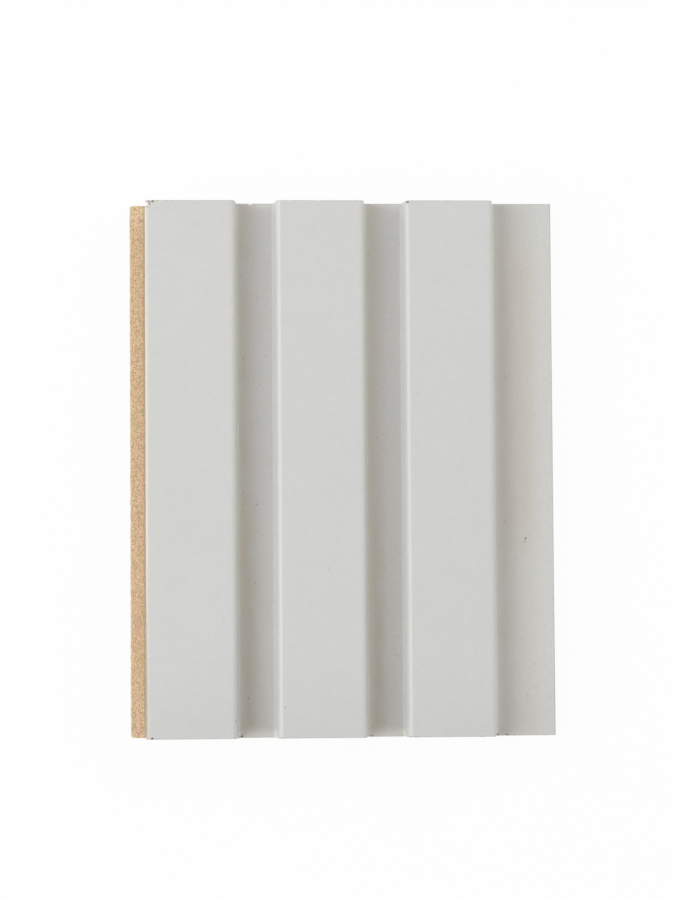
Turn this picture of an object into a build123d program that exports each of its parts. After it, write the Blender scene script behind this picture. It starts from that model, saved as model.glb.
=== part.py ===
"""Slatted MDF wall panel: a short length of interlocking wall cladding.

The panel is milled from one board, so it is one solid: a flat base with three raised slats on
its face. The slats' sides lean in towards their faces, and their edges are rounded for the finish
that is wrapped over them. The first slat's outer wall is square to the base, because it stands
over the joint. There a tongue runs along the back, with a slot above it under the first slat. The
far side carries a lip, undercut from the back. When panels are hung side by side, the lip slides
into the next panel's slot and the tongue slides behind the lip, so that every channel comes out
equally wide.

Millimetres. X runs across the slats from the tongue to the lip, Y along them, and Z up from the
back to the slats' faces. The origin is at the middle of the back.
"""

import math
import os

from build123d import *

# What one panel covers on the wall, and the length of this piece
cover_width = 121.0
slat_count = 3
piece_length = 167.5

# Thicknesses, from the back up
base_thickness = 10.0
slat_height = 8.0
tongue_thickness = 4.4

# Slats
slat_face_width = 27.0
slat_draft_degrees = 6.0
slat_edge_radius = 1.4
channel_corner_radius = 0.7
outer_wall_edge_radius = 0.8

# Joint between two panels
tongue_reach = 5.0
lip_overlap = 7.0
joint_end_clearance = 0.3
lip_back_clearance = 0.2
lip_face_clearance = 0.1
tongue_edge_radius = 0.5
lip_face_edge_radius = 0.4
lip_back_edge_radius = 0.6
joint_corner_radius = 0.3

# What follows from the sizes above
pitch = cover_width / slat_count
panel_thickness = base_thickness + slat_height
side_lean = slat_height * math.tan(math.radians(slat_draft_degrees))
slat_foot_width = slat_face_width + 2 * side_lean
lip_end = cover_width + lip_overlap
slot_depth = lip_overlap + joint_end_clearance
slot_top = base_thickness + lip_face_clearance
undercut_depth = tongue_reach + lip_overlap + joint_end_clearance
undercut_top = tongue_thickness + lip_back_clearance
section_middle = (lip_end - tongue_reach) / 2

SHARP = 0


def lip_corners():
    """The back edge where the base ends, the undercut above it and the lip's free end."""
    shoulder = lip_end - undercut_depth
    return [
        (shoulder, 0, SHARP),
        (shoulder, undercut_top, joint_corner_radius),
        (lip_end, undercut_top, lip_back_edge_radius),
        (lip_end, base_thickness, lip_face_edge_radius),
    ]


def slat_lip_side(slat):
    """The leaning side that each slat turns towards the lip, from its foot up."""
    foot = slat * pitch + slat_foot_width
    return [
        (foot, base_thickness, channel_corner_radius),
        (foot - side_lean, panel_thickness, slat_edge_radius),
    ]


def slat_tongue_side(slat):
    """The leaning side that a slat turns towards the tongue, from its face down."""
    foot = slat * pitch
    return [
        (foot + side_lean, panel_thickness, slat_edge_radius),
        (foot, base_thickness, channel_corner_radius),
    ]


def joint_side_corners():
    """The first slat's square outer wall, the slot under it and the tongue along the back."""
    return [
        (0, panel_thickness, outer_wall_edge_radius),
        (0, slot_top, joint_corner_radius),
        (slot_depth, slot_top, joint_corner_radius),
        (slot_depth, tongue_thickness, joint_corner_radius),
        (-tongue_reach, tongue_thickness, tongue_edge_radius),
        (-tongue_reach, 0, tongue_edge_radius),
    ]


def section_corners():
    """Every corner of the section as (x, z, radius), round from the lip's back to the tongue's."""
    corners = lip_corners()
    for slat in reversed(range(1, slat_count)):
        corners += slat_lip_side(slat) + slat_tongue_side(slat)
    corners += slat_lip_side(0) + joint_side_corners()
    return corners


def slat_panel():
    """The section, centred across X, drawn out along Y to both sides of the origin."""
    corners = section_corners()
    points = [(x - section_middle, z) for x, z, _ in corners]
    radii = [radius for _, _, radius in corners]
    with BuildPart() as panel:
        with BuildSketch(Plane.XZ):
            with BuildLine():
                FilletPolyline(*points, radius=radii, close=True)
            make_face()
        extrude(amount=piece_length / 2, both=True)
    return panel.part


os.makedirs("parts", exist_ok=True)
export_step(slat_panel(), "parts/slat_panel.step")
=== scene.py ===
"""Looks of a short length of slatted MDF wall panel, built around its solid model.

The board is one piece: a base with three raised slats, a bare tongue along its left edge and a
lip along its right edge. A light grey film is wrapped over its face. The joint's milled faces, the
back and both sawn ends are bare MDF. Its sawn edges are chipped, and the channels are dusty.

Metres. X runs across the slats from the tongue to the lip, Y along them, and Z up from the back.
"""

import math
import random

import bmesh
import bpy
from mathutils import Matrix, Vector, kdtree, noise


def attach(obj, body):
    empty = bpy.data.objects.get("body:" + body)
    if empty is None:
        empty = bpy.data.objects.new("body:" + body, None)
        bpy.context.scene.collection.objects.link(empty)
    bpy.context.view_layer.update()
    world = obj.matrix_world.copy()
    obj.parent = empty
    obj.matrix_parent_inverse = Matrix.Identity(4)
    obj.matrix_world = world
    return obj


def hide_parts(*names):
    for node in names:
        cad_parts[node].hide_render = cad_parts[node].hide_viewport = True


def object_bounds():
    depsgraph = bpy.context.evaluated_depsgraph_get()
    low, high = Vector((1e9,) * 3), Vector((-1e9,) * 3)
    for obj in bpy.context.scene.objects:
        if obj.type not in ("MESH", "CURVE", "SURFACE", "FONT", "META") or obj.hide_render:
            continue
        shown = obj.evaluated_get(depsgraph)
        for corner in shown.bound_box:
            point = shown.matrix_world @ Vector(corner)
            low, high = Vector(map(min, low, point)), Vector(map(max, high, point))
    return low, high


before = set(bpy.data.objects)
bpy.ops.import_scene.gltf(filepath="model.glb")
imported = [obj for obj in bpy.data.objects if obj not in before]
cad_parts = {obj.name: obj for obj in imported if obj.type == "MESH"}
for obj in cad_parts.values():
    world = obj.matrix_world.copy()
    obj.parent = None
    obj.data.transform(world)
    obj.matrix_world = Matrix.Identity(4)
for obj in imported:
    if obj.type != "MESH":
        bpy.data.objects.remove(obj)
solid_low, solid_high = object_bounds()

mm = 0.001

# The board's outer sizes, from the frame
tongue_tip = solid_low.x
lip_end = solid_high.x
near_end = solid_low.y
far_end = solid_high.y
face_height = solid_high.z
board_length = far_end - near_end

# Its section
slat_count = 3
tongue_reach = 5.0 * mm
lip_overlap = 7.0 * mm
slat_height = 8.0 * mm
tongue_thickness = 4.4 * mm
slat_face_width = 27.0 * mm
slat_draft = math.radians(6.0)
slat_edge_radius = 1.4 * mm
channel_corner_radius = 0.7 * mm
outer_wall_edge_radius = 0.8 * mm
joint_end_clearance = 0.3 * mm
lip_back_clearance = 0.2 * mm
lip_face_clearance = 0.1 * mm
tongue_edge_radius = 0.5 * mm
lip_face_edge_radius = 0.4 * mm
lip_back_edge_radius = 0.6 * mm
joint_corner_radius = 0.3 * mm

# The film: how thick it is, how far it turns in under the lip, and its worn strip on slat 1
film_thickness = 0.2 * mm
film_lip_turn = 3.0 * mm
worn_strip_width = 0.45 * mm

# What follows from the sizes above
outer_wall = tongue_tip + tongue_reach
pitch = (lip_end - lip_overlap - outer_wall) / slat_count
channel_height = face_height - slat_height
side_lean = slat_height * math.tan(slat_draft)
slat_foot_width = slat_face_width + 2 * side_lean
slot_top = channel_height + lip_face_clearance
slot_end = outer_wall + lip_overlap + joint_end_clearance
undercut_top = tongue_thickness + lip_back_clearance
shoulder = lip_end - tongue_reach - lip_overlap - joint_end_clearance

# The mesh's cells: across the board, up it, along it from a sawn end, and on the tongue's edge
cell_width = 0.35 * mm
cell_height = 0.5 * mm
first_cell_length = 0.14 * mm
cell_growth = 1.25
round_step = 0.3 * mm
tongue_edge_depth = 1.6 * mm
tongue_cell_length = 0.5 * mm

# The sawn edges' chips: those seen, as millimetres from slat 1's wall, height and radius, and the rest
far_chips = [
    (0, 17.6, 0.8),
    (0.6, 18, 0.6),
    (2.4, 18, 0.5),
    (32.8, 10, 0.6),
    (33.5, 10, 0.45),
    (82.2, 17.7, 0.5),
    (82.9, 18, 0.4),
]
near_chips = [
    (1.8, 18, 0.4),
    (29.8, 10, 0.5),
    (41.0, 14.5, 0.5),
    (41.4, 17, 0.4),
    (42.0, 17.8, 0.4),
    (70.3, 10, 0.35),
    (81.6, 16.5, 0.4),
    (82.2, 17.6, 0.45),
    (83.4, 18, 0.35),
    (110.1, 10, 0.5),
    (113.2, 10, 0.35),
]
crushed_corner_chips = 34
crushed_corner_width = 5.0 * mm
crushed_corner_depth = 2.2 * mm
crushed_chip_radii = (0.15, 0.32)
small_chips_each_end = 60
small_chip_radii = (0.15, 0.34)

# A chip's form: how far outside the edge its middle lies and how far its bared rim goes, both in
# radii, the size and strength of its rough grain, how bare the rim is, and how deep a chip is
# fully bare, in radii too
chip_offset = 0.4
chip_rim = 1.8
chip_grain = 0.7 * mm
chip_roughness = 0.5
rim_bareness = 0.6
fully_bare_depth = 0.3

# The saw's work on the ends: its fuzz and its deeper tears, the size of each, and the level of
# the noise past which the board tears
end_fuzz = 0.04 * mm
end_fuzz_size = 0.45 * mm
end_tear = 0.12 * mm
end_tear_size = 0.9 * mm
end_tear_level = 0.15

# The tongue's worn edge: how far it wanders, over which lengths, the longer ones' share, how
# little that changes up the edge against along it, and how much its corners have lost
tongue_wander = 0.16 * mm
tongue_long_wave = 2.6 * mm
tongue_short_wave = 1.1 * mm
tongue_long_share = 0.6
tongue_wave_up = 0.4
tongue_corner_wear = 0.7 * mm

# The piece broken out of slat 1's wall by the far end
broken_corner_depth = 0.8 * mm
broken_corner_width = 1.6 * mm
broken_corner_middle = 1.3 * mm
broken_corner_reach = 1.15 * mm
broken_corner_lean = 0.15
broken_corner_grain = 0.6 * mm
broken_corner_raggedness = 0.35

# Edges sharper than this stay sharp
sharp_angle = math.radians(38)

# How close things are to count as one: places, the two ends of an edge seen along the board, a
# vertex and the cut beside it, and heights
same_place = 1e-6
same_line = 1e-7
same_cut = 4e-6
same_height = 1e-5

# The board's finishes, in the order of its material slots
FILM, MILLED, SAWN, BACK, WORN = range(5)


def section_sides():
    """The section's sides in order, each as its first corner's x, z and radius, and its finish."""
    sides = [
        (tongue_tip, 0, tongue_edge_radius, BACK),
        (shoulder, 0, 0, MILLED),
        (shoulder, undercut_top, joint_corner_radius, MILLED),
        (lip_end - film_lip_turn, undercut_top, 0, FILM),
        (lip_end, undercut_top, lip_back_edge_radius, FILM),
        (lip_end, channel_height, lip_face_edge_radius, FILM),
    ]
    for slat in reversed(range(slat_count)):
        tongue_side = outer_wall + slat * pitch
        lip_side = tongue_side + slat_foot_width
        sides += [
            (lip_side, channel_height, channel_corner_radius, FILM),
            (lip_side - side_lean, face_height, slat_edge_radius, FILM),
        ]
        if slat:
            sides += [
                (tongue_side + side_lean, face_height, slat_edge_radius, FILM),
                (tongue_side, channel_height, channel_corner_radius, FILM),
            ]
    sides += [
        (outer_wall, face_height, outer_wall_edge_radius, MILLED),
        (outer_wall, slot_top, joint_corner_radius, MILLED),
        (slot_end, slot_top, joint_corner_radius, MILLED),
        (slot_end, tongue_thickness, joint_corner_radius, MILLED),
        (tongue_tip, tongue_thickness, tongue_edge_radius, MILLED),
    ]
    return sides


def drawn_board():
    """The section drawn out from the near end to the far one, each side with its finish."""
    board = bmesh.new()
    sides = section_sides()
    corners = [board.verts.new((x, near_end, z)) for x, z, _, _ in sides]
    end = board.faces.new(corners)
    end.material_index = SAWN
    first_edges = [board.edges.get((a, b)) for a, b in zip(corners, corners[1:] + corners[:1])]
    drawn = bmesh.ops.extrude_face_region(board, geom=[end], use_keep_orig=True)["geom"]
    moved = [part for part in drawn if isinstance(part, bmesh.types.BMVert)]
    bmesh.ops.translate(board, verts=moved, vec=(0, board_length, 0))
    for edge, (_, _, _, finish) in zip(first_edges, sides):
        for face in edge.link_faces:
            if face is not end:
                face.material_index = finish
    bmesh.ops.recalc_face_normals(board, faces=board.faces)
    return board


def round_corners(board):
    """Rounds each lengthwise corner to its own radius."""
    sides = section_sides()
    turns = []
    for index, (x, z, radius, _) in enumerate(sides):
        before = Vector((x - sides[index - 1][0], z - sides[index - 1][1]))
        after_x, after_z = sides[(index + 1) % len(sides)][:2]
        after = Vector((after_x - x, after_z - z))
        turns.append((x, z, radius, before.angle(after)))
    for x, z, radius, turn in turns:
        if radius == 0:
            continue
        edges = [edge for edge in board.edges if all(at_corner(vert, x, z) for vert in edge.verts)]
        bmesh.ops.bevel(
            board,
            geom=edges,
            offset=radius * math.tan(turn / 2),
            offset_type="OFFSET",
            segments=max(3, round(turn * radius / round_step)),
            profile=0.5,
            affect="EDGES",
            material=-1,
            clamp_overlap=False,
        )


def at_corner(vert, x, z):
    """Whether a vertex stands on the lengthwise line through a corner of the section."""
    return abs(vert.co.x - x) < same_place and abs(vert.co.z - z) < same_place


def finish_outer_round(board):
    """The film on slat 1's outer round, worn through to its paper along the wall."""
    for face in board.faces:
        middle = face.calc_center_median()
        past_wall = middle.x - outer_wall
        if face.material_index == SAWN or middle.z < face_height - outer_wall_edge_radius:
            continue
        if 0 < past_wall < worn_strip_width:
            face.material_index = WORN
        elif 0 < past_wall < outer_wall_edge_radius:
            face.material_index = FILM


def show_film_edge(board):
    """The film's cut edge, a thin line round the wrapped faces on both sawn ends."""
    ends = [face for face in board.faces if face.material_index == SAWN]
    rims = bmesh.ops.inset_region(
        board, faces=ends, thickness=film_thickness, use_even_offset=True, use_boundary=True
    )["faces"]
    for rim in rims:
        beside = {face.material_index for edge in rim.edges for face in edge.link_faces}
        rim.material_index = WORN if beside & {FILM, WORN} else SAWN


def cut_cells(board):
    """Cuts the board into cells: even across and up, and finer towards the sawn ends."""
    for x in spaced(tongue_tip, lip_end, cell_width):
        cut(board, (x, 0, 0), (1, 0, 0))
    for z in spaced(0, face_height, cell_height):
        cut(board, (0, 0, z), (0, 0, 1))
    depths = graded(board_length / 2)
    places = [near_end + depth for depth in depths] + [far_end - depth for depth in reversed(depths)]
    first_new = len(board.verts)
    cut_lengthwise(board, lengthwise_edges(board), len(places))
    step = board_length / (len(places) + 1)
    for vert in board.verts[first_new:]:
        vert.co.y = places[round((vert.co.y - near_end) / step) - 1]
    groups = {}
    for edge in lengthwise_edges(board):
        if all(on_tongue_edge(vert.co) for vert in edge.verts):
            groups.setdefault(math.ceil(edge.calc_length() / tongue_cell_length) - 1, []).append(edge)
    for count, edges in groups.items():
        if count:
            cut_lengthwise(board, edges, count)


def cut(board, place, across):
    """Cuts every face that a plane goes through."""
    everything = board.verts[:] + board.edges[:] + board.faces[:]
    bmesh.ops.bisect_plane(board, geom=everything, dist=same_cut, plane_co=place, plane_no=across)


def cut_lengthwise(board, edges, count):
    """Cuts lengthwise edges, and the faces between them, into even cells."""
    bmesh.ops.subdivide_edges(board, edges=edges, cuts=count, use_grid_fill=True)
    board.verts.ensure_lookup_table()


def lengthwise_edges(board):
    """The edges that run straight along the board."""
    edges = []
    for edge in board.edges:
        first, last = (vert.co for vert in edge.verts)
        if abs(first.x - last.x) < same_line and abs(first.z - last.z) < same_line:
            edges.append(edge)
    return edges


def on_tongue_edge(place):
    """Whether a place is on the part of the tongue that is worn."""
    return place.x < tongue_tip + tongue_edge_depth and place.z < tongue_thickness + same_height


def spaced(low, high, step):
    """Even places strictly between two ends, no further apart than a step."""
    count = math.ceil((high - low) / step)
    return [low + (high - low) * index / count for index in range(1, count)]


def graded(reach):
    """Distances from a sawn end, each cell longer than the last by the same factor."""
    places = []
    depth, length = first_cell_length, first_cell_length
    while depth < reach:
        places.append(depth)
        length *= cell_growth
        depth += length
    return places


def chip_sawn_edges(board, bare):
    """Chips out of the sawn edges: those that show, a crushed corner, and small ones all along."""
    tree = kdtree.KDTree(len(board.verts))
    for index, vert in enumerate(board.verts):
        tree.insert(vert.co, index)
    tree.balance()
    board.verts.ensure_lookup_table()
    for end, chips in ((far_end, far_chips), (near_end, near_chips)):
        for from_wall, height, radius in chips:
            place = Vector((outer_wall + from_wall * mm, end, height * mm))
            press_chip(board, bare, tree, place, radius * mm)
    random.seed(7)
    for _ in range(crushed_corner_chips):
        from_wall = random.uniform(0, crushed_corner_width)
        depth = random.uniform(0, crushed_corner_depth) * (1 - from_wall / crushed_corner_width)
        place = Vector((outer_wall + from_wall, far_end - depth, face_height))
        press_chip(board, bare, tree, place, random.uniform(*crushed_chip_radii) * mm)
    for end in (near_end, far_end):
        for _ in range(small_chips_each_end):
            x = random.uniform(outer_wall, lip_end)
            place = Vector((x, end, face_height_at(x)))
            press_chip(board, bare, tree, place, random.uniform(*small_chip_radii) * mm)


def press_chip(board, bare, tree, place, radius):
    """Takes a rough scoop out of an edge at a sawn end, and marks what it bares."""
    inward = Vector((0, -1 if place.y > 0 else 1, -1)).normalized()
    middle = place - inward * radius * chip_offset
    for _, index, _ in tree.find_range(middle, radius * chip_rim):
        vert = board.verts[index]
        reach = radius * (1 + chip_roughness * noise.noise(vert.co / chip_grain))
        away = vert.co - middle
        if away.length >= reach:
            vert[bare] = max(vert[bare], rim_bareness * (chip_rim - away.length / radius))
            continue
        ahead = away.dot(inward)
        depth = math.sqrt(ahead**2 - away.length_squared + reach**2) - ahead
        vert.co += inward * depth
        vert[bare] = max(vert[bare], min(1, depth / (fully_bare_depth * radius)))


def face_height_at(x):
    """The height of the wrapped face at a place across the board."""
    past = (x - outer_wall) % pitch
    if x > outer_wall + slat_count * pitch:
        return channel_height
    lean = min(past, slat_foot_width - past) / side_lean
    return channel_height + slat_height * max(0, min(1, lean))


def roughen(board, bare):
    """Fuzz on the sawn faces, a ragged cut through the film, and the uneven outer edges."""
    for vert in board.verts:
        place = vert.co.copy()
        if abs(place.y) > far_end - same_place:
            torn = max(0, noise.noise(place / end_tear_size) - end_tear_level) * end_tear
            fuzz = (0.5 + 0.5 * noise.noise(place / end_fuzz_size)) * end_fuzz
            vert.co.y -= math.copysign(torn + fuzz, place.y)
        if on_tongue_edge(place):
            vert.co.x += tongue_wear(place)
        elif place.z > slot_top - same_height and place.x < outer_wall + broken_corner_width:
            middle = broken_corner_middle - broken_corner_lean * (face_height - place.z)
            gap = abs(far_end - place.y - middle) / broken_corner_reach
            rag = noise.noise(Vector((0, place.y, 0)) / broken_corner_grain)
            broken = max(0, 1 - gap**2 + broken_corner_raggedness * rag)
            inwards = 1 - (place.x - outer_wall) / broken_corner_width
            if gap < 1:
                vert.co.x += broken_corner_depth * broken * inwards
                vert[bare] = max(vert[bare], broken)


def tongue_wear(place):
    """How far the tongue's edge is worn in at a place: it wanders, and the corners are rubbed off."""
    near_tip = 1 - (place.x - tongue_tip) / tongue_edge_depth
    along = Vector((0, place.y, place.z * tongue_wave_up))
    wander = tongue_long_share * noise.noise(along / tongue_long_wave)
    wander += (1 - tongue_long_share) * noise.noise(along / tongue_short_wave)
    corner = max(0, 1 - (far_end - abs(place.y)) / tongue_corner_wear)
    return ((0.5 + wander) * tongue_wander + corner**2 * tongue_corner_wear) * near_tip


def finished_piece(name, board, finishes):
    """The board's mesh as an object that rides with the frame and stands for the solid."""
    mesh = bpy.data.meshes.new(name)
    board.to_mesh(mesh)
    board.free()
    for finish in finishes:
        mesh.materials.append(finish)
    mesh.shade_smooth()
    mesh.set_sharp_from_angle(angle=sharp_angle)
    piece = bpy.data.objects.new(name, mesh)
    bpy.context.scene.collection.objects.link(piece)
    weighted = piece.modifiers.new("flat faces stay flat", "WEIGHTED_NORMAL")
    weighted.keep_sharp = True
    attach(piece, "root")
    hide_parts("slat_panel")


class Field:
    """A value that varies over a surface, with arithmetic that adds Math nodes."""

    def __init__(self, finish, socket):
        self.finish = finish
        self.socket = socket

    def math(self, operation, *values):
        """The result of a Math node on these values."""
        return self.finish.node("ShaderNodeMath", {"operation": operation}, dict(enumerate(values)))

    def __add__(self, other):
        return self.math("ADD", self, other)

    def __sub__(self, other):
        return self.math("SUBTRACT", self, other)

    def __rsub__(self, other):
        return self.math("SUBTRACT", other, self)

    def __mul__(self, other):
        return self.math("MULTIPLY", self, other)

    def __mod__(self, other):
        return self.math("FLOORED_MODULO", self, other)

    def __abs__(self):
        return self.math("ABSOLUTE", self)

    __radd__ = __add__
    __rmul__ = __mul__

    def step(self, start, end):
        """0 at the start value and 1 at the end value, with a smooth way between."""
        ends = {"Value": self, "From Min": start, "From Max": end}
        return self.finish.node("ShaderNodeMapRange", {"interpolation_type": "SMOOTHSTEP"}, ends)


class Finish:
    """A material of this board, built up from nodes on its own surface shader."""

    def __init__(self, name):
        self.material = bpy.data.materials.new(name)
        self.material.use_nodes = True
        self.tree = self.material.node_tree
        self.shader = self.tree.nodes["Principled BSDF"]
        self.place = self.node("ShaderNodeTexCoord", output="Object")
        self.x, self.y, self.z = (
            self.node("ShaderNodeSeparateXYZ", inputs={0: self.place}, output=axis) for axis in "XYZ"
        )

    def node(self, kind, settings=None, inputs=None, output=0):
        """Adds a node with its settings and its sockets' values or links, and gives one output."""
        node = self.tree.nodes.new(kind)
        for name, value in (settings or {}).items():
            if name == "stops":
                self.set_stops(node.color_ramp.elements, value)
            else:
                setattr(node, name, value)
        for name, value in (inputs or {}).items():
            if isinstance(value, Field):
                self.tree.links.new(value.socket, node.inputs[name])
            else:
                node.inputs[name].default_value = value
        return Field(self, node.outputs[output])

    def set_stops(self, stops, values):
        """Fills a ramp's stops, of which it starts with two."""
        while len(stops) < len(values):
            stops.new(1)
        for stop, (place, colour) in zip(stops, values):
            stop.position = place
            stop.color = (*colour, 1)

    def noise(self, size, stretch=(1, 1, 1), detail=2, roughness=0.5, distortion=0):
        """Cloudy noise from 0 to 1, with patches about one size across, stretched along the axes."""
        scale = tuple(1 / (size * along) for along in stretch)
        place = self.node("ShaderNodeMapping", inputs={"Vector": self.place, "Scale": scale})
        inputs = {"Vector": place, "Scale": 1, "Detail": detail, "Roughness": roughness}
        return self.node("ShaderNodeTexNoise", inputs={**inputs, "Distortion": distortion})

    def blend(self, mask, under, over, how="MIX"):
        """One colour laid over another where the mask is 1."""
        colours = [tone if isinstance(tone, Field) else (*tone, 1) for tone in (under, over)]
        settings = {"data_type": "RGBA", "blend_type": how}
        return self.node("ShaderNodeMix", settings, {0: mask, 6: colours[0], 7: colours[1]}, output=2)

    def ramp(self, value, stops):
        """A colour that changes with a value, through stops of a place and a colour each."""
        return self.node("ShaderNodeValToRGB", {"stops": stops}, {0: value})

    def bared(self):
        """1 where a chip has taken the film away."""
        return self.node("ShaderNodeAttribute", {"attribute_name": "bare"}, output="Fac")

    def show_chips(self, colour, bare):
        """Ragged chips through to board and torn paper, the board's brown darkened with painted shade
        inside the chips.
        """
        ragged = bare + chip_raggedness * (self.noise(0.3 * mm, detail=1) - 0.5)
        torn = self.noise(0.4 * mm, detail=1, distortion=1).step(*torn_levels)
        inside = self.blend(torn, chip_board_and_shade, torn_paper)
        return self.blend(ragged.step(*chip_levels), colour, inside)

    def show_marks(self, colour):
        """The dark specks, which are dirt and painted shade in chips, and the pale flecks."""
        dark, pale = 0, 0
        for *place, radius, strength in specks:
            dark = dark + self.spot(place, radius) * strength
        for *place, radius in pale_flecks:
            pale = pale + self.spot(place, radius)
        return self.blend(pale, self.blend(dark, colour, speck_dirt_and_shade), fleck_white)

    def spot(self, place, radius):
        """1 in the middle of a round spot, given in millimetres, and 0 outside it."""
        ends = {0: self.place, 1: Vector(place) * mm}
        gap = self.node("ShaderNodeVectorMath", {"operation": "DISTANCE"}, ends, output="Value")
        return gap.step(spot_rim * radius * mm, spot_heart * radius * mm)

    def finish(self, colour, roughness, relief, depth):
        """Sets the surface: its colour, its roughness, and a relief of so many metres."""
        bump = self.node("ShaderNodeBump", inputs={"Height": relief, "Distance": depth, "Strength": 1.0})
        for name, value in (("Base Color", colour), ("Roughness", roughness), ("Normal", bump)):
            self.tree.links.new(value.socket, self.shader.inputs[name])
        return self.material


film_grey = (0.672, 0.672, 0.654)
sawdust = (0.67, 0.52, 0.31)
# Dirt, and painted shade where it darkens the channels and the edges
grime_and_shade = (0.33, 0.29, 0.23)
lip_dust = (0.59, 0.515, 0.40)
olive_dirt = (0.70, 0.70, 0.50)
# Pale dust, and painted light where it lifts the slats' feet
pale_dust_and_light = (0.85, 0.83, 0.77)
warm_bloom = (0.80, 0.67, 0.58)
paper_cream = (0.77, 0.69, 0.585)
# Bared board, darkened with painted shade inside the chips
chip_board_and_shade = (0.17, 0.155, 0.13)
torn_paper = (0.80, 0.79, 0.75)
# Dark specks: dirt, and painted shade in the chips at the sawn ends
speck_dirt_and_shade = (0.15, 0.145, 0.13)
fleck_white = (0.96, 0.96, 0.95)
# Painted highlight on slat 1's outer round
highlight_cream = (0.90, 0.80, 0.68)
pore_brown = (0.38, 0.28, 0.17)
# Painted shadow at the slot's mouth beside slat 1's wall
slot_shadow_grey = (0.42, 0.44, 0.40)
tongue_soil = (0.45, 0.41, 0.30)
core_tan = (0.70, 0.55, 0.36)
scratch_tan = (0.72, 0.58, 0.40)
paper_fleck = (0.66, 0.52, 0.36)
paper_soil = (0.62, 0.56, 0.48)
dull_paper = (0.50, 0.43, 0.34)

# What the milled fibres are multiplied by where they turn yellow or pink
yellow_tint = (0.985, 1.012, 0.90)
pink_tint = (1.03, 0.965, 1.02)

# Bare MDF's colours from its darkest fibres to its palest, each after its place in the pattern
milled_tans = [
    (0.37, (0.53, 0.38, 0.235)),
    (0.47, (0.73, 0.54, 0.345)),
    (0.54, (0.84, 0.65, 0.435)),
    (0.63, (0.95, 0.785, 0.565)),
]
sawn_tans = [
    (0.30, (0.36, 0.245, 0.135)),
    (0.47, (0.53, 0.385, 0.23)),
    (0.56, (0.62, 0.465, 0.29)),
    (0.70, (0.76, 0.60, 0.41)),
]
sanded_tans = [
    (0.32, (0.44, 0.315, 0.19)),
    (0.5, (0.56, 0.42, 0.26)),
    (0.68, (0.66, 0.51, 0.34)),
]

# Where the marks come and go: each fade is the place where it is 0, then the place where it is 1.
# Up the board:
channel_level = (channel_height + 2.2 * mm, channel_height + 0.2 * mm)
below_slot_top = (slot_top, tongue_thickness + 1 * mm)
end_core = (face_height / 2, face_height / 4)

# Across the board
tongue_rim = (tongue_tip + 0.8 * mm, tongue_tip + 0.3 * mm)
# Painted shadow at the slot's mouth, from the tongue into the slot
slot_shadow_start = (outer_wall - 0.95 * mm, outer_wall - 0.55 * mm)
slot_shadow_end = (outer_wall + 4 * mm, outer_wall)
# Painted highlight on slat 1's outer round
highlight_round = (outer_wall + 1.5 * mm, outer_wall + 0.5 * mm)
right_half = (-40 * mm, 45 * mm)
from_slat_3 = (8 * mm, 14 * mm)
lip_start = (lip_end - 20 * mm, lip_end - 19 * mm)
lip_rim = (lip_end - 0.4 * mm, lip_end - 0.1 * mm)

# Past the foot of the slat on the left
foot_line_start = (-0.6 * mm, 0)
foot_line_end = (1.6 * mm, 0.4 * mm)
foot_dust_start = (-0.8 * mm, 1.6 * mm)
foot_dust_end = (7.5 * mm, 2.0 * mm)
lip_dust_start = (0, 4 * mm)
lip_dust_end = (16 * mm, 10 * mm)
# Painted light by the slats' feet
painted_light_foot = (3.6 * mm, 0.8 * mm)
# Dirt and painted shade across each channel
grime_and_shade_start = (1.2 * mm, 3.4 * mm)
grime_and_shade_end = (11 * mm, 4 * mm)
before_slat_3 = (6 * mm, 9 * mm)
corner_dirt = (4 * mm, 0.5 * mm)
next_wall = (pitch - 1.9 * mm, pitch - 0.9 * mm)

# Along the board
towards_near_end = (far_end, near_end)
handled_end = (-55 * mm, near_end)
lip_dust_near_side = (-34 * mm, -12 * mm)
lip_dust_far_side = (82 * mm, 58 * mm)
olive_stretch = (-70 * mm, -40 * mm)
pale_stretch = (-45 * mm, -70 * mm)
# Dirt and painted shade, growing along the board
slat_3_grime_and_shade_stretch = (70 * mm, -50 * mm)
grime_and_shade_stretch = (20 * mm, -76 * mm)
clear_of_near_end = (near_end + 2 * mm, near_end + 5 * mm)
last_of_channel = (near_end + 3.4 * mm, near_end + 0.8 * mm)
corner_dirt_stretch = (near_end + 5 * mm, near_end + 1 * mm)
dull_paper_stretch = (-18 * mm, -74 * mm)

# From either sawn end inwards
# Painted shade along the cut edges, and how far it grows along the lip's edge
cut_edge = (0.45 * mm, 0.1 * mm)
edge_shade_stretch = (35 * mm, 12 * mm)

# In the pattern that a mark follows: the level where the mark is 0, then the level where it is 1
chip_levels = (0.3, 0.42)
torn_levels = (0.38, 0.53)
dust_patch_levels = (0.3, 0.7)
corner_dirt_levels = (0.52, 0.66)
grain_levels = (0.76, 0.87)
yellow_levels = (0.52, 0.36)
pink_levels = (0.50, 0.64)
pore_levels = (0.34, 0.26)
scratch_levels = (0.35, 0.6)
fleck_levels = (0.55, 0.75)
soil_levels = (0.5, 0.72)

# How patchy the sawdust is, how much of that is lost on the lip, and how much it varies finely
dust_patchiness = 0.7
dust_patchiness_lost_on_lip = 0.35
fine_dust = 0.4

# The clean film's brightness, and how much each pattern changes it
film_brightness = 0.94
cloud_strength = 0.03
smear_strength = 0.07
grain_strength = 0.02
handled_strength = 0.035
grit_strength = 0.26

# How much of each mark's colour covers what is under it, and what some gain or lose elsewhere
channel_dust = 0.03
foot_dust = 0.17
foot_dust_at_near_end = 0.10
foot_dust_lost_on_lip = 0.6
lip_dust_all_along = 0.18
lip_dust_midway = 0.16
# Painted light by the feet of the right-hand slats
right_half_painted_light = 0.2
foot_line_dirt = 0.22
wall_bloom = 0.14
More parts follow.
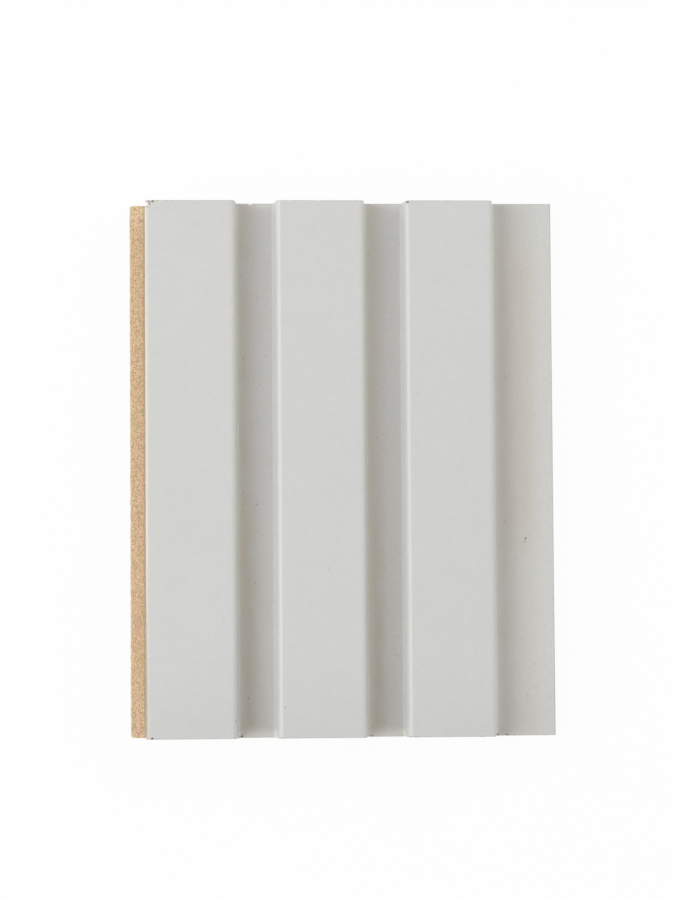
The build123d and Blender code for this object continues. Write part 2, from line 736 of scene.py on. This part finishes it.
# Dirt and painted shade in the channels
slat_3_grime_and_shade = 0.12
channel_grime_and_shade = 0.13
channel_grime_and_shade_in_patches = 0.16
grime_and_shade_lost_on_lip = 0.9
near_end_dust = 0.25
near_end_dust_in_grains = 0.6
corner_dirt_strength = 0.5
dirt_grains = 0.1
dirt_grains_in_patches = 0.4
# Painted highlight on slat 1's outer round, and more of it towards the near end
painted_highlight = 0.12
more_painted_highlight_near_end = 0.12
# Painted shade along the cut edges and the lip's edge
painted_edge_shade = 0.22
more_edge_shade_near_ends = 1.3
# Painted shadow at the slot's mouth
slot_shadow = 0.35
slot_shadow_in_clumps = 0.3
tongue_rim_soil = 0.28
pore_strength = 0.4
core_strength = 0.35
scratch_strength = 0.12
fleck_strength = 0.5
soil_strength = 0.35
dull_paper_strength = 0.85

# How ragged a chip's outline is, and where a round spot is full and where it ends, in radii
chip_raggedness = 0.9
spot_heart = 0.4
spot_rim = 1.2

# How rough each finish is, and how much rougher dust and chips make the film
film_roughness = 0.43
dusty_roughness = 0.6
chipped_roughness = 0.3
milled_roughness = 0.78
sawn_roughness = 0.85
sanded_roughness = 0.68
paper_roughness = 0.7

# How far the lip's dust wanders, and how deep each finish's relief is
lip_dust_wander = 6 * mm
film_relief = 0.012 * mm
milled_relief = 0.07 * mm
sawn_relief = 0.12 * mm
sanded_relief = 0.02 * mm
paper_relief = 0.02 * mm

# Marks on the film, as millimetres from the board's middle and from its back, with each one's radius
pale_flecks = [
    (-28.7, 83.6, 10, 0.55),
    (-28.2, 83.6, 10, 0.45),
    (-61.2, 82.5, 18, 0.35),
    (-61.2, 82.0, 18, 0.35),
    (47.9, -82.9, 10, 0.30),
]
# and, for the dark ones, how dark: those on the sawn ends' edges are painted shade in chips, the rest dirt
specks = [
    (-31.6, 60.7, 10, 0.30, 0.27),
    (-26.5, 53.9, 10, 0.30, 0.27),
    (-24.9, 45.5, 10, 0.25, 0.27),
    (-28.3, -44.9, 10, 0.25, 0.27),
    (-23.4, -50.0, 10, 0.25, 0.27),
    (-29.7, -71.4, 10, 0.40, 0.40),
    (-20.2, 68.8, 16, 0.50, 0.30),
    (-42.0, -52.1, 18, 0.25, 0.27),
    (-37.5, -46.0, 18, 0.25, 0.27),
    (-18.6, -74.1, 18, 0.50, 0.22),
    (17.9, 79.8, 10, 0.30, 0.27),
    (16.1, 60.1, 10, 0.30, 0.27),
    (16.9, -58.5, 10, 0.35, 0.27),
    (-26.9, -11.0, 10, 0.40, 0.40),
    (-31.0, -7.3, 10, 0.35, 0.25),
    (-30.9, 34.8, 10, 0.35, 0.25),
    (10.9, 9.9, 10, 0.40, 0.27),
    (11.0, 24.4, 10, 0.35, 0.22),
    (57.6, -22.0, 10, 0.42, 0.75),
    (57.4, -22.9, 10, 0.35, 0.40),
    (56.3, -23.3, 10, 0.30, 0.25),
    (51.0, -16.4, 10, 0.40, 0.25),
    (51.4, 29.0, 10, 0.35, 0.22),
    (56.2, 29.3, 10, 0.35, 0.20),
    (56.8, 62.0, 10, 0.35, 0.20),
    (57.7, -71.3, 10, 0.45, 0.22),
    (-4.9, -31.3, 18, 0.40, 0.20),
    (23.2, 23.1, 18, 0.40, 0.20),
    (60.1, -61.4, 10, 0.35, 0.22),
    (59.7, -64.0, 10, 0.30, 0.22),
    (60.4, -68.5, 10, 0.35, 0.22),
    (-33.8, -78.1, 17.3, 0.60, 0.30),
    (-61.2, 83.5, 18, 0.45, 0.65),
    (-60.9, 83.0, 18, 0.40, 0.50),
    (-59.1, 83.4, 18, 0.50, 0.80),
    (-60.2, 83.4, 18, 0.35, 0.45),
    (-60.9, 81.9, 18, 0.35, 0.45),
    (20.7, 83.2, 17.6, 0.60, 0.80),
    (-59.7, -83.4, 18, 0.45, 1.00),
    (-31.8, -83.3, 10, 0.42, 1.00),
    (8.8, -83.4, 10, 0.38, 0.60),
    (48.1, -83.3, 10, 0.45, 0.90),
    (51.1, -83.4, 10, 0.42, 0.75),
]


class WrappedFilm(Finish):
    """The light grey film, with the patterns and bands that its dust, dirt and painted shade share."""

    def __init__(self, name):
        super().__init__(name)
        self.in_channel = self.z.step(*channel_level)
        self.on_lip = self.x.step(*lip_start)
        self.past_foot = (self.x - (outer_wall + slat_foot_width)) % pitch
        self.handled = self.y.step(*handled_end)
        self.clouds = self.noise(14 * mm, detail=3)
        self.smears = self.noise(1.6 * mm)
        self.grain = self.noise(0.25 * mm, detail=1)
        self.patches = self.noise(5 * mm, (0.8, 2.2, 1), detail=4, roughness=0.6)
        self.fine = self.noise(0.9 * mm, detail=3, roughness=0.7)

    def clean(self):
        """The film's own grey, a little uneven, and gritty in the channels."""
        grit = self.noise(0.55 * mm, roughness=0.7)
        level = film_brightness + cloud_strength * self.clouds + smear_strength * self.smears
        level = level + grain_strength * self.grain - handled_strength * self.handled
        level = level + self.in_channel * grit_strength * (grit - 0.5)
        shade = self.node("ShaderNodeCombineColor", inputs={0: level, 1: level, 2: level})
        return self.blend(1.0, film_grey, shade, "MULTIPLY")

    def sawdust_depth(self):
        """Sawdust in the channels: most by each slat's foot, more towards the near end, and on the lip."""
        by_foot = self.past_foot.step(*foot_dust_end) * self.past_foot.step(*foot_dust_start)
        by_foot = by_foot * (foot_dust + foot_dust_at_near_end * self.y.step(*towards_near_end))
        by_foot = by_foot * (1 - foot_dust_lost_on_lip * self.on_lip)
        ragged_edge = (self.past_foot + lip_dust_wander * (self.patches - 0.5)).step(*lip_dust_end)
        midway = self.y.step(*lip_dust_far_side) * self.y.step(*lip_dust_near_side)
        across_lip = ragged_edge * self.past_foot.step(*lip_dust_start) * self.on_lip
        across_lip = across_lip * (lip_dust_all_along + lip_dust_midway * midway)
        patchiness = dust_patchiness - dust_patchiness_lost_on_lip * self.on_lip
        patchy = 1 + patchiness * (self.patches.step(*dust_patch_levels) - 0.5)
        depth = channel_dust + by_foot + across_lip
        return self.in_channel * depth * patchy * (1 - fine_dust / 2 + fine_dust * self.fine)

    def show_dust(self, colour, dust):
        """The sawdust; painted light by the slats' feet, most towards the right; olive and pale dirt along
        each foot; and a warm tint before each next wall.
        """
        # Painted light: a pale blend by the foot of each slat's wall, strongest towards the right, lifting
        # the shade there
        painted_light_by_foot = self.in_channel * self.past_foot.step(*painted_light_foot) * self.x.step(*right_half)
        colour = self.blend(painted_light_by_foot * right_half_painted_light, colour, pale_dust_and_light)
        colour = self.blend(dust, colour, self.blend(self.on_lip, sawdust, lip_dust))
        foot = self.in_channel * self.past_foot.step(*foot_line_end) * self.past_foot.step(*foot_line_start)
        colour = self.blend(foot * self.y.step(*olive_stretch) * foot_line_dirt, colour, olive_dirt)
        colour = self.blend(foot * self.y.step(*pale_stretch) * foot_line_dirt, colour, pale_dust_and_light)
        return self.blend(self.past_foot.step(*next_wall) * wall_bloom, colour, warm_bloom)

    def show_grime_and_shade(self, colour):
        """Darker in the channels, growing towards the near end, with some before slat 3: part dirt, part
        painted shade.
        """
        off_lip = 1 - self.on_lip
        # Part dirt, part painted shade before slat 3's wall
        by_slat_3 = self.past_foot.step(*before_slat_3) * self.x.step(*from_slat_3) * off_lip
        by_slat_3 = self.in_channel * by_slat_3 * self.y.step(*slat_3_grime_and_shade_stretch)
        colour = self.blend(by_slat_3 * slat_3_grime_and_shade, colour, grime_and_shade)
        # Part dirt, part painted shade across each channel, growing towards the near end
        deep = self.past_foot.step(*grime_and_shade_start) * self.past_foot.step(*grime_and_shade_end)
        dark = self.in_channel * self.y.step(*grime_and_shade_stretch) * self.y.step(*clear_of_near_end)
        dark = dark * deep * (1 - grime_and_shade_lost_on_lip * self.on_lip)
        dark = dark * (channel_grime_and_shade + channel_grime_and_shade_in_patches * self.patches)
        return self.blend(dark, colour, grime_and_shade)

    def show_near_end(self, colour):
        """Pale dust on the channels' last millimetres, and fine dirt in their corners."""
        pale = self.y.step(*last_of_channel) * self.in_channel * (1 - self.on_lip)
        pale = pale * (near_end_dust + near_end_dust_in_grains * self.fine)
        colour = self.blend(pale, colour, pale_dust_and_light)
        corner = self.in_channel * self.past_foot.step(*corner_dirt) * self.y.step(*corner_dirt_stretch)
        dirt = self.noise(0.5 * mm, detail=1).step(*corner_dirt_levels) * corner
        return self.blend(dirt * corner_dirt_strength, colour, grime_and_shade)

    def show_grains(self, colour):
        """Fine grains of dirt here and there in the channels."""
        grains = self.noise(0.9 * mm, detail=0).step(*grain_levels) * self.in_channel
        return self.blend(grains * (dirt_grains + dirt_grains_in_patches * self.patches), colour, grime_and_shade)

    def show_edge_highlight_and_shade(self, colour):
        """A painted highlight on the round beside slat 1's cream line, and painted shade along the lip's
        and the cut edges.
        """
        # Painted highlight on slat 1's outer round, stronger towards the near end
        highlight = self.x.step(*highlight_round) * (painted_highlight + more_painted_highlight_near_end * self.handled)
        colour = self.blend(highlight, colour, highlight_cream)
        # Painted shade: a dark line along both cut edges and the lip's edge, stronger towards the ends
        from_end = far_end - abs(self.y)
        rim = self.x.step(*lip_rim) * (1 + more_edge_shade_near_ends * from_end.step(*edge_shade_stretch))
        return self.blend((from_end.step(*cut_edge) + rim) * painted_edge_shade, colour, grime_and_shade)


def grey_film():
    """Smooth light grey film: dusty and dirty in the channels, with painted light and shade there, painted
    shade in its chips and along its edges, and a painted highlight on slat 1's outer round.
    """
    film = WrappedFilm("grey_film")
    dust = film.sawdust_depth()
    colour = film.show_dust(film.clean(), dust)
    colour = film.show_near_end(film.show_grime_and_shade(colour))
    colour = film.show_edge_highlight_and_shade(film.show_grains(colour))
    bare = film.bared()
    colour = film.show_marks(film.show_chips(colour, bare))
    roughness = film_roughness + 0.05 * film.clouds + dusty_roughness * dust + chipped_roughness * bare
    relief = 0.5 * film.grain + 0.8 * film.fine * dust + 0.4 * film.smears
    return film.finish(colour, roughness, relief, film_relief)


def milled_fibres():
    """Freshly milled MDF, its fibres drawn out along the cutter's way."""
    raw = Finish("milled_mdf")
    strands = raw.noise(0.24 * mm, (0.9, 2, 1), detail=1, roughness=0.6, distortion=0.3)
    clumps = raw.noise(1.1 * mm, (1, 2.4, 1), detail=2)
    tint = raw.noise(1.3 * mm, (0.8, 2.6, 1), detail=1)
    pores = raw.noise(0.34 * mm, (1, 1.4, 1), detail=0)
    tan = raw.ramp(0.8 * strands + 0.2 * clumps, milled_tans)
    yellow = raw.blend(tint.step(*yellow_levels), tan, yellow_tint, "MULTIPLY")
    colour = raw.blend(tint.step(*pink_levels), yellow, pink_tint, "MULTIPLY")
    colour = raw.blend(pores.step(*pore_levels) * pore_strength, colour, pore_brown)
    # Painted shadow on the tongue beside slat 1's wall, at the slot's mouth, and the tongue's soiled outer
    # edge
    slot_shadow_mask = raw.x.step(*slot_shadow_start) * raw.x.step(*slot_shadow_end) * raw.z.step(*below_slot_top)
    colour = raw.blend(slot_shadow_mask * (slot_shadow + slot_shadow_in_clumps * clumps), colour, slot_shadow_grey)
    colour = raw.blend(raw.x.step(*tongue_rim) * tongue_rim_soil, colour, tongue_soil)
    return raw.finish(colour, milled_roughness + 0.15 * strands, strands + 0.4 * pores, milled_relief)


def sawn_fibres():
    """MDF's sawn end: a dense skin, a softer core, upright saw marks and fuzz, under the dark marks."""
    raw = Finish("sawn_mdf")
    saw_marks = raw.noise(0.55 * mm, (1, 1, 14), detail=3, roughness=0.6)
    fuzz = raw.noise(0.3 * mm, detail=3, roughness=0.7)
    clumps = raw.noise(1.8 * mm, (1.6, 1, 0.7), detail=3)
    core = abs(raw.z - face_height / 2).step(*end_core)
    tan = raw.ramp(0.45 * fuzz + 0.3 * saw_marks + 0.25 * clumps, sawn_tans)
    colour = raw.show_marks(raw.blend(core * core_strength, tan, core_tan))
    return raw.finish(colour, sawn_roughness + 0.1 * fuzz, fuzz + 0.8 * saw_marks, sawn_relief)


def sanded_back():
    """The sanded back: plain MDF with fine scratches along the board."""
    raw = Finish("sanded_mdf")
    scratches = raw.noise(0.3 * mm, (1, 60, 1), detail=2, roughness=0.6)
    mottle = raw.noise(2.2 * mm, (1, 1.6, 1), detail=4, roughness=0.6)
    flecks = raw.noise(0.5 * mm, (1, 2.4, 1), detail=2)
    tan = raw.ramp(0.6 * mottle + 0.4 * flecks, sanded_tans)
    colour = raw.blend(scratches.step(*scratch_levels) * scratch_strength, tan, scratch_tan)
    relief = scratches + 0.3 * flecks
    return raw.finish(colour, sanded_roughness + 0.12 * mottle, relief, sanded_relief)


def worn_film():
    """The film's cream paper, where its cut edge shows, duller towards the near end."""
    paper = Finish("film_paper")
    flecks = paper.noise(0.3 * mm, (1, 2, 1), detail=2)
    stretches = paper.noise(6 * mm, (1, 3, 1), detail=3)
    colour = paper.blend(flecks.step(*fleck_levels) * fleck_strength, paper_cream, paper_fleck)
    colour = paper.blend(stretches.step(*soil_levels) * soil_strength, colour, paper_soil)
    colour = paper.blend(paper.y.step(*dull_paper_stretch) * dull_paper_strength, colour, dull_paper)
    colour = paper.show_marks(paper.show_chips(colour, paper.bared()))
    return paper.finish(colour, paper_roughness + 0.1 * flecks, flecks, paper_relief)


# The studio: a white floor, white daylight, four square soft lamps, and the photograph's camera.
# The floor's glow is what makes it look white without more light on the board.
floor_radius = 4.0
floor_white = (0.85, 0.85, 0.85, 1)
floor_glow = 0.955
pure_white = (1, 1, 1, 1)
daylight = 0.35
soft_box_distance = 1.3
soft_box_side = 1.0
soft_box_aim = Vector((0, 0, 0.01))

# Each lamp's name, its turn about Z and height in degrees, and its power
soft_boxes = [
    ("left low soft box", 180, 30, 6.2),
    ("left high soft box", 180, 45, 6.55),
    ("right soft box", 0, 30, 3.4),
    ("far right soft box", 45, 35, 4.45),
]

camera_place = (-54.9 * mm, -45.9 * mm, 944.6 * mm)
camera_turns = (math.radians(3.178), math.radians(-3.269), math.radians(-0.196))
camera_lens = 119.51
camera_sensor_width = 36
camera_reach = (0.01, 100)


def make_floor():
    """A floor that looks white, and still takes a trace of the board's shadow."""
    mesh = bpy.data.meshes.new("floor")
    sheet = bmesh.new()
    bmesh.ops.create_circle(sheet, cap_ends=True, segments=96, radius=floor_radius)
    sheet.to_mesh(mesh)
    sheet.free()
    floor = bpy.data.objects.new("floor", mesh)
    bpy.context.scene.collection.objects.link(floor)
    white = Finish("white_floor")
    white.shader.inputs["Base Color"].default_value = floor_white
    white.shader.inputs["Roughness"].default_value = 1.0
    white.shader.inputs["Specular IOR Level"].default_value = 0.0
    rays = ("Is Camera Ray", "Is Glossy Ray", "Is Transmission Ray")
    seen = sum(white.node("ShaderNodeLightPath", output=ray) for ray in rays) * floor_glow
    glow = white.node("ShaderNodeEmission", inputs={"Color": pure_white})
    lit = Field(white, white.shader.outputs["BSDF"])
    mixed = white.node("ShaderNodeMixShader", inputs={0: seen, 1: lit, 2: glow})
    surface = white.tree.nodes["Material Output"].inputs["Surface"]
    white.tree.links.new(mixed.socket, surface)
    floor.data.materials.append(white.material)


def make_daylight():
    """Even white light from all round."""
    world = bpy.data.worlds.new("studio")
    bpy.context.scene.world = world
    world.use_nodes = True
    background = world.node_tree.nodes["Background"]
    background.inputs["Color"].default_value = pure_white
    background.inputs["Strength"].default_value = daylight


def hang_soft_box(name, turn, height, power):
    """A square soft lamp that faces the board, from a turn about Z and a height angle in degrees."""
    turn, height = math.radians(turn), math.radians(height)
    level = soft_box_distance * math.cos(height)
    rise = soft_box_distance * math.sin(height)
    place = Vector((level * math.cos(turn), level * math.sin(turn), rise))
    light = bpy.data.lights.new(name, "AREA")
    light.shape = "SQUARE"
    light.size = soft_box_side
    light.energy = power
    lamp = bpy.data.objects.new(name, light)
    lamp.location = place
    lamp.rotation_mode = "QUATERNION"
    lamp.rotation_quaternion = (soft_box_aim - place).to_track_quat("-Z", "Y")
    bpy.context.scene.collection.objects.link(lamp)


def make_camera():
    """A camera at the photograph's angle and distance, with no shift."""
    data = bpy.data.cameras.new("camera")
    camera = bpy.data.objects.new("camera", data)
    bpy.context.scene.collection.objects.link(camera)
    data.lens = camera_lens
    data.sensor_width = camera_sensor_width
    data.clip_start, data.clip_end = camera_reach
    camera.location = camera_place
    camera.rotation_mode = "ZYX"
    camera.rotation_euler = camera_turns
    bpy.context.scene.camera = camera


board = drawn_board()
round_corners(board)
finish_outer_round(board)
show_film_edge(board)
cut_cells(board)
bare = board.verts.layers.float.new("bare")
roughen(board, bare)
chip_sawn_edges(board, bare)
finishes = [grey_film(), milled_fibres(), sawn_fibres(), sanded_back(), worn_film()]
finished_piece("milled_board", board, finishes)
make_floor()
make_daylight()
for soft_box in soft_boxes:
    hang_soft_box(*soft_box)
make_camera()
bpy.context.scene.view_settings.view_transform = "Standard"
